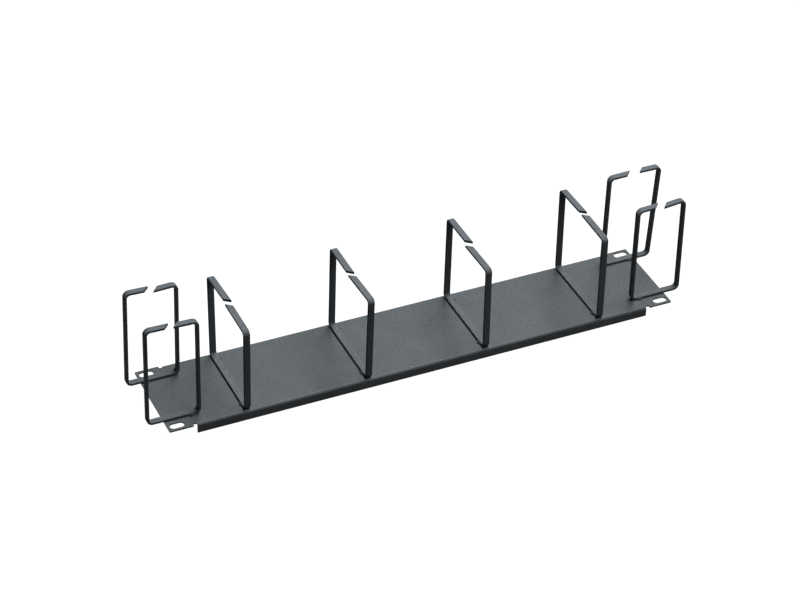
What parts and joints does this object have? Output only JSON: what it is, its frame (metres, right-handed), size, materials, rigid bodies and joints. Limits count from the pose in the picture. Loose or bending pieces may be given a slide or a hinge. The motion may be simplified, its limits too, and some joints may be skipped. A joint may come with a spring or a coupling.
{
  "type": "horizontal cable manager",
  "caption": "Two-unit rack face plate with folded edges and slotted ears, carrying upright flat-bar rings with slanted cuts that hold cables.",
  "frame": {"origin": "middle of the four slots, in the plane at the back of the ears that seats on the rack posts", "axes": "+X along the plate, +Y across it, +Z out of the rack, the way the rings stand"},
  "size_m": [0.5179, 0.0896, 0.1091],
  "materials": {
    "plate_coat": "satin charcoal-black powder coat with a fine texture",
    "ring_coat": "satin charcoal-black powder coat with a fine texture",
    "weld_coat": "the same powder coat over a small weld bead"
  },
  "bodies": {
    "root": {"face_plate": "plate_coat", "middle_ring_1": "ring_coat", "middle_ring_2": "ring_coat", "middle_ring_3": "ring_coat", "middle_ring_4": "ring_coat", "end_ring_front_left": "ring_coat", "end_ring_rear_left": "ring_coat", "end_ring_front_right": "ring_coat", "end_ring_rear_right": "ring_coat", "middle_ring_1_front_weld": "weld_coat", "middle_ring_1_rear_weld": "weld_coat", "middle_ring_2_front_weld": "weld_coat", "middle_ring_2_rear_weld": "weld_coat", "middle_ring_3_front_weld": "weld_coat", "middle_ring_3_rear_weld": "weld_coat", "middle_ring_4_front_weld": "weld_coat", "middle_ring_4_rear_weld": "weld_coat", "end_ring_front_left_inner_weld": "weld_coat", "end_ring_front_left_outer_weld": "weld_coat", "end_ring_rear_left_inner_weld": "weld_coat", "end_ring_rear_left_outer_weld": "weld_coat", "end_ring_front_right_inner_weld": "weld_coat", "end_ring_front_right_outer_weld": "weld_coat", "end_ring_rear_right_inner_weld": "weld_coat", "end_ring_rear_right_outer_weld": "weld_coat"}
  },
  "joints": []
}
